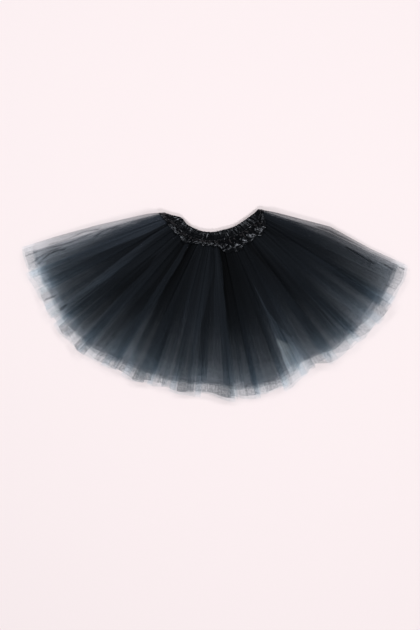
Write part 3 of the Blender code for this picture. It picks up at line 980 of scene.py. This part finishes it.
nets = {tube.name: make_tube(tube) for tube in TUBES}

# %% [markdown]
# The waistband is one strip of satin. It is folded over the elastic, stitched below it, and
# its free edge is left as a frill. So its section is drawn as one line: up the inside of the
# casing, over the top, down the outside to the stitches, and out along the frill. Gathers are
# ridges with rounded tops and sharp valleys, which is how cloth on a pulled elastic looks.

# %% The casing's height
CASING_DOWN = (0.0, 7.5, 14.0, 17.0)
CASING_FRONT = (8.0, 10.0, 12.7, 14.4)
CASING_FOLDS, RIDGE, FINE_FOLDS, FINE_RIDGE, SWELL, CLEAR = 31, 0.5, 67, 0.2, 0.3, 1.0


def ridges(across, folds, seed, lean=0.0):
    """Uneven gathers from 0 in a valley to about 1 on a ridge."""
    phase = folds * across + 0.9 * np.sin(5.3 * across + seed)
    phase = phase + 0.28 * np.sin(31 * across + 2 * seed)
    height = 0.7 + 0.3 * np.sin(39.1 * across + seed * 3)
    return height * np.abs(np.sin(math.pi * (phase + lean)))


def casing_puff(down):
    """How far the casing stands out over the elastic, from its edge to its stitches."""
    return np.sin(math.pi * np.clip(down / BAND_HEIGHT, 0, 1)) ** 0.6


def casing_outside(across, down, is_front):
    """The height of the casing's outside."""
    lean = 0.35 * np.sin(9 * across + 1.3) * down / BAND_HEIGHT
    gathers = RIDGE * casing_puff(down) * ridges(across, CASING_FOLDS, 0.7, lean)
    gathers = gathers + FINE_RIDGE * ridges(across, FINE_FOLDS, 2.1, -lean)
    if is_front:
        over_net = np.interp(down, CASING_DOWN, CASING_FRONT) + CLEAR
        return over_net + SWELL * casing_puff(down) + gathers
    return 1.5 - 0.525 * gathers


def inside_height(down, is_front):
    """The height of the casing's inside."""
    if is_front:
        return np.interp(down, CASING_DOWN, CASING_FRONT) + 0.1
    return np.full_like(down, 2.4)


edge_and_middle = casing_outside(np.zeros(2), np.array([0.0, BAND_HEIGHT / 2]), True)
print("the casing's height at its edge and its middle:", edge_and_middle.round(1), "mm")

# %% [markdown]
# The frill. It stands out under the stitch line, over the stack of net. Its large folds
# follow a table, as the photograph shows them: where each starts at the seam and ends at the
# frill's edge, as shares across the front, with its half width and its height.

# %% The frill's folds
FRILL_ROWS = (
    (-75.5, 5.0), (-62.0, 9.0), (-48.0, 11.0), (-38.0, 10.0), (-28.0, 17.0), (-20.0, 10.0),
    (-8.0, 9.0), (2.0, 10.0), (12.0, 13.0), (17.0, 22.0), (26.0, 28.0), (32.0, 28.0),
    (42.0, 23.0), (52.0, 23.0), (62.0, 23.0), (72.0, 14.0), (79.4, 8.0),
)
frill_reach = smooth_curve(FRILL_ROWS)
SMALL_CURLS, BACK_REACH, PINCH, CURL, SMALL_CURL, FOLD_SHARE = 26, 0.6, 2.0, 0.6, 0.1, 0.75


def stack_top(down, across):
    """The top of the stack of net, that far down from the waist's edge."""
    start = band_place(across, BAND_HEIGHT - TUCK)
    angle = angle_on(hem_radius, across)
    length = np.linalg.norm(polar(angle, hem_radius(angle)) - start, axis=-1)
    along = np.maximum(0.0, squeezed(down - BAND_HEIGHT + TUCK, across) / length)
    return down_the_net(LIFT, along) + PANELS * pitch_at(along, across) - LAYER_GAP


Fold = namedtuple("Fold", "at_seam at_edge width height")
FRILL_FOLDS = (
    Fold(0.05, 0.03, 5.0, 1.8), Fold(0.125, 0.105, 6.0, 2.8), Fold(0.2, 0.175, 4.6, 1.6),
    Fold(0.272, 0.235, 5.6, 3.6), Fold(0.318, 0.305, 3.4, 2.6), Fold(0.372, 0.355, 3.8, 3.2),
    Fold(0.432, 0.44, 4.6, 3.0), Fold(0.487, 0.505, 3.4, 2.6), Fold(0.545, 0.565, 4.0, 2.4),
    Fold(0.6, 0.615, 3.2, 1.4), Fold(0.645, 0.665, 4.6, 3.8), Fold(0.695, 0.735, 4.0, 3.0),
    Fold(0.762, 0.785, 4.4, 3.9), Fold(0.812, 0.85, 3.6, 3.4), Fold(0.89, 0.925, 6.0, 3.0),
    Fold(0.965, 0.985, 4.4, 1.6),
)
FRONT_ARC = 178.0


def frill_folds(across, share):
    """The height of the frill's listed folds. Each rises, swells and sinks to its edge."""
    height = np.zeros_like(across)
    for k, fold in enumerate(FRILL_FOLDS):
        middle = fold.at_seam + (fold.at_edge - fold.at_seam) * share
        away = (across - middle) * FRONT_ARC / fold.width
        sink = rise((share - 0.55 - 0.1 * np.sin(2.4 * k)) / 0.4)
        swell = rise(share * 2.6 + 0.12) * (1 - 0.45 * sink)
        height = height + fold.height * swell * np.exp(-(away**2))
    return height


def curl_phase(across, share):
    """The phase of the frill's small curls, which are unevenly spaced and lean."""
    return math.tau * SMALL_CURLS * across + 2.1 * np.sin(13 * across) + 2.5 * share


def frill_point(across, share, is_front):
    """The place and height of the frill, that share of the way to its edge."""
    reach = frill_reach(angle_on(waist_radius, across)) * (1.0 if is_front else BACK_REACH)
    reach = reach + 1.3 * np.sin(74 * across) * share + 0.8 * np.sin(131 * across + 1) * share
    down = BAND_HEIGHT + reach * share
    highest = stack_top(down, across)
    near_seam = (1 - share) ** 2
    pinch = ridges(across, CASING_FOLDS, 0.7) * near_seam
    small = 0.5 + 0.5 * np.sin(curl_phase(across, share))
    if not is_front:
        return down, 0.25 + 0.9 * near_seam + 0.5 * small * share
    uneven = 0.5 + 0.5 * np.sin(47 * across + 1.7 * np.sin(19 * across))
    curl = uneven * np.sin(math.pi * np.clip(share * 1.25, 0, 1))
    folds = FOLD_SHARE * frill_folds(across, share) + SMALL_CURL * small * rise(share * 2.2)
    return down, highest + CLEAR / 2 + PINCH * pinch + folds + CURL * curl


print("folds of the frill:", len(FRILL_FOLDS))

# %% [markdown]
# The strip's lines. Each line runs all round the waist at one place of the section. Its rows
# lie closer where the section bends: at the top edge and at the stitches.

# %% Lines of the strip
BAND_COLUMNS, BACK_COLUMNS = 560, 260
INSIDE_ROWS = (16.5, 13.0, 9.0, 5.0, 2.0, 0.6)
OUTSIDE_ROWS = (0.4, 1.4, 3.0, 5.0, 7.0, 9.0, 11.0, 13.0, 14.6, 15.8, 16.6)
FRILL_SHARES = tuple(np.linspace(0.06, 1.0, 15))
END_ROUND = 0.7


def strip_row(kind, where, is_front):
    """One line of the strip, left to right, in millimetres."""
    across = np.linspace(0, 1, BAND_COLUMNS if is_front else BACK_COLUMNS)
    if kind == "inside":
        down = np.full_like(across, where)
        height = inside_height(down, is_front)
    elif kind == "outside":
        down = np.full_like(across, where)
        height = casing_outside(across, down, is_front)
        down = down - 0.5 * ridges(across, CASING_FOLDS, 0.7) * (1 - rise(down / 4))
    else:
        down, height = frill_point(across, where, is_front)
    place = band_place(across, down)
    if kind == "frill" and is_front:
        sway = 0.8 * rise(where * 1.5) * np.cos(curl_phase(across, where))
        ahead = np.gradient(place, axis=0)
        place = place + ahead / np.linalg.norm(ahead, axis=1)[:, None] * sway[:, None]
    return np.column_stack([place, height])


def band_away(across):
    """The direction that leads out of the band at one of its two ends."""
    inner = 0.02 if across < 0.5 else 0.98
    step = band_place(np.array([across]), 5.0) - band_place(np.array([inner]), 5.0)
    return step / np.linalg.norm(step)


def strip_ring(kind, where):
    """One line of the strip, all round."""
    front, back = strip_row(kind, where, True), strip_row(kind, where, False)
    right = side_arc(front[None, -1], back[None, -1], band_away(1.0), END_ROUND, 14)[0]
    left = side_arc(back[None, 0], front[None, 0], band_away(0.0), END_ROUND, 14)[0]
    return np.concatenate([front, right, back[::-1], left])


strip_lines = [("inside", d) for d in INSIDE_ROWS] + [("outside", d) for d in OUTSIDE_ROWS]
strip_lines += [("frill", s) for s in FRILL_SHARES]
print("the strip has", len(strip_lines), "lines round the waist")

# %% [markdown]
# The satin's finish. Satin is woven so that long threads lie side by side on its face. They
# reflect light along a narrow band, so black satin is nearly black until a fold catches a
# lamp, and then it is bright. A low roughness, some anisotropy and a fine bump along the
# threads give that. Coarser bumps stand for what is too small to model: the narrow gathers
# of the casing, and the curls and crumples of the frill below it.

# %% The satin's finish
CASING_CUT, GATHER_CUT = 0.033, 0.0135
GATHER_BUMP, SWIRL_BUMP, CRUMPLE_BUMP, THREAD_BUMP = 1.5, 6.0, 0.2, 0.03
SATIN_BLACK, SATIN_GLINT = (0.0005, 0.0007, 0.0011, 1), (0.86, 0.9, 1.0, 1)


def satin_finish():
    """Black polyester satin."""
    material, tree, shader = new_finish("black_satin")
    cut = tree.node("ShaderNodeUVMap", {"uv_map": "cut"})
    across = tree.node("ShaderNodeSeparateXYZ", inputs={"Vector": cut}, output="X")
    down = tree.node("ShaderNodeSeparateXYZ", inputs={"Vector": cut}, output="Y")
    lengthwise = {"Vector": cut, "Scale": (1.0, 0.12, 1.0)}
    threads = noise(tree, tree.node("ShaderNodeMapping", inputs=lengthwise), 2600.0, 2.0)
    crumple = noise(tree, cut, 190.0, 3.0, 0.6)
    wander = noise(tree, cut, 55.0, 1.0)
    swirls = noise(tree, cut, 56.0, 1.0, 0.9)
    on_frill = ((down - CASING_CUT) * 350.0).kept()
    gathers = (across * (math.tau / GATHER_CUT) + wander * 9.0).sine() * (1 - on_frill)
    height = gathers * GATHER_BUMP + (swirls - MIDDLE_OF_NOISE) * on_frill * SWIRL_BUMP
    height = height + crumple * CRUMPLE_BUMP + threads * THREAD_BUMP
    bump = {"Height": height, "Strength": 0.3, "Distance": 0.0012}
    look = {
        "Base Color": SATIN_BLACK,
        "Specular Tint": SATIN_GLINT,
        "Specular IOR Level": 0.22,
        "Anisotropic": 0.3,
        "Roughness": 0.17 + crumple * 0.06 + threads * 0.04,
        "Normal": tree.node("ShaderNodeBump", inputs=bump),
    }
    feed(shader, look)
    return material


satin = satin_finish()
print("finish:", satin.name)

# %% [markdown]
# The band is built as the nets were: a grid closed all round, with the strip's cut as UVs.

# %% Make the waistband
STRIP_WIDTH, STRIP_LENGTH = 0.048, 0.57
band_points = np.stack([strip_ring(*line) for line in strip_lines])
rows, columns = band_points.shape[:2]
band_mesh = grid_mesh("satin_band", band_points)
around_strip = np.linspace(0, STRIP_LENGTH, columns + 1)
lay_cut(band_mesh, rows, columns, around_strip, np.linspace(0, STRIP_WIDTH, rows))
band_mesh.materials.append(satin)
band = show(bpy.data.objects.new("satin_band", band_mesh))
print("the band's mesh has", len(band_mesh.polygons), "faces")

# %% [markdown]
# Stitches. A row of small black stitches holds the net and closes the casing. They repeat
# along a path, so Geometry Nodes lay them: the path is measured off in equal steps, and one
# short thread is placed at each step and turned along it.

# %% The tree for the stitches
def stitch_tree():
    """Geometry Nodes that lay short threads along a curve."""
    tree, given, identifiers = new_tree(
        "stitches", ("Stitch pitch", "Stitch length", "Thread radius"), "Thread"
    )
    path = {"Curve": given["Geometry"], "Length": given["Stitch pitch"]}
    steps = tree.node("GeometryNodeCurveToPoints", {"mode": "LENGTH"}, path)
    turned = Value(tree.tree, steps.socket.node.outputs["Rotation"])
    ball = {"Segments": 6, "Rings": 4, "Radius": 1.0}
    grain = tree.node("GeometryNodeMeshUVSphere", inputs=ball)
    radius = given["Thread radius"]
    half_sizes = {"X": radius, "Y": radius, "Z": given["Stitch length"] * 0.5}
    size = tree.node("ShaderNodeCombineXYZ", inputs=half_sizes)
    laid = {"Points": steps, "Instance": grain, "Rotation": turned, "Scale": size}
    end_tree(tree, tree.node("GeometryNodeInstanceOnPoints", inputs=laid), given["Thread"])
    return tree, identifiers


stitches_tree, stitch_inputs = stitch_tree()
print("tree inputs:", list(stitch_inputs))

# %% [markdown]
# The path is the band's own line just above the stitch line, so the stitches ride up and
# down over its gathers and touch the satin everywhere.

# %% Make the stitches
STITCHED_AT, THREAD_LIFT, THREAD_BLACK = 16.2, 0.12, (0.012, 0.013, 0.016, 1)
STITCHES = {"Stitch pitch": 0.0028, "Stitch length": 0.0021, "Thread radius": 0.00022}


def thread_finish():
    """Matt black sewing thread."""
    material, tree, shader = new_finish("black_thread")
    place = tree.node("ShaderNodeTexCoord", output="Object")
    wave = {"Vector": place, "Scale": 900.0, "Distortion": 1.0}
    twist = tree.node("ShaderNodeTexWave", inputs=wave)
    feed(shader, {"Base Color": THREAD_BLACK, "Roughness": 0.5 + twist * 0.25})
    return material


line = strip_ring("outside", STITCHED_AT) + np.array([0, 0, THREAD_LIFT])
path = bpy.data.curves.new("stitch_line", "CURVE")
path.dimensions = "3D"
spline = path.splines.new("POLY")
spline.points.add(len(line) - 1)
spline.points.foreach_set("co", np.column_stack([line * MM, np.ones(len(line))]).ravel())
spline.use_cyclic_u = True
seam = show(bpy.data.objects.new("casing_stitches", path))
stitches = run_tree(seam, stitches_tree, stitch_inputs, {**STITCHES, "Thread": thread_finish()})
stitches.data.shade_smooth()
print("stitches:", len(stitches.data.polygons), "faces")

# %% [markdown]
# What each piece stands for. A piece that takes a solid's place hides that solid, and every
# piece rides on the one rigid body. The size that each sheet was cut to lies in its UVs.

# %% Tie the pieces to the solids
for tube in TUBES:
    net = nets[tube.name]
    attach(net, "root")
    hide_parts(tube.node)
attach(band, "root")
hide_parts("waistband")
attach(stitches, "root")
print("tied:", [piece.name for piece in (*nets.values(), band, stitches)])

# %% [markdown]
# The studio. A plain pale surface lies under the skirt, and the sky is dim and even, so the
# net shows by what passes through it. Five small soft lamps stand high up round it. Satin
# shines only where a slope turns a lamp's reflection to the camera, so small lamps give it
# short, clear glints. The camera looks straight down from far off with a long lens, as the
# photograph was taken, so nothing leans.

# %% Floor, lamps and camera
FLOOR_HALF, FLOOR_LEVEL = 3.0, -0.0004
MATT_PINK = {"Base Color": (0.82, 0.735, 0.745, 1), "Roughness": 0.9, "Specular IOR Level": 0.0}
FLOOR_CORNERS = ((-1, -1), (1, -1), (1, 1), (-1, 1))
LAMP_SIZE = 0.48
Lamp = namedtuple("Lamp", "name place power")
LAMPS = (
    Lamp("lamp_left", (-1.9, 0.4, 2.7), 31.0),
    Lamp("lamp_back_left", (-0.9, 1.7, 2.8), 24.0),
    Lamp("lamp_back_right", (1.1, 1.6, 2.8), 24.0),
    Lamp("lamp_right", (1.8, 0.1, 2.7), 29.0),
    Lamp("lamp_front", (0.2, -1.7, 2.8), 36.0),
)
SKY = {"Color": (0.97, 0.98, 1.0, 1), "Strength": 0.12}
PHOTO_HEIGHT, SENSOR_HEIGHT, CAMERA_PLACE = 1.147, 36.0, (-0.00864, -0.0201, 3.2)


def make_floor():
    """A large plain sheet just under the skirt."""
    mesh = bpy.data.meshes.new("floor")
    corners = [(x * FLOOR_HALF, y * FLOOR_HALF, FLOOR_LEVEL) for x, y in FLOOR_CORNERS]
    mesh.from_pydata(corners, [], [(0, 1, 2, 3)])
    material, _, shader = new_finish("pale_floor")
    feed(shader, MATT_PINK)
    mesh.materials.append(material)
    floor = show(bpy.data.objects.new("floor", mesh))


def make_lamp(lamp):
    """A soft square lamp that faces the skirt."""
    data = bpy.data.lights.new(lamp.name, "AREA")
    data.shape, data.size, data.energy = "SQUARE", LAMP_SIZE, lamp.power
    stand = show(bpy.data.objects.new(lamp.name, data))
    stand.location = lamp.place
    x, y, z = lamp.place
    stand.rotation_euler = (math.atan2(math.hypot(x, y), z), 0, math.atan2(y, x) + math.pi / 2)


make_floor()
for lamp in LAMPS:
    make_lamp(lamp)
world = bpy.data.worlds.new("soft_room")
world.use_nodes = True
for name, value in SKY.items():
    world.node_tree.nodes["Background"].inputs[name].default_value = value
scene = bpy.context.scene
scene.world = world
lens = bpy.data.cameras.new("camera")
lens.sensor_fit, lens.sensor_height = "VERTICAL", SENSOR_HEIGHT
lens.lens = SENSOR_HEIGHT * CAMERA_PLACE[2] / PHOTO_HEIGHT
camera = show(bpy.data.objects.new("camera", lens))
camera.location = CAMERA_PLACE
scene.camera = camera
scene.view_settings.view_transform = "Standard"
scene.cycles.transparent_max_bounces = 80
print("lamps:", len(LAMPS), "lens:", round(lens.lens), "mm")
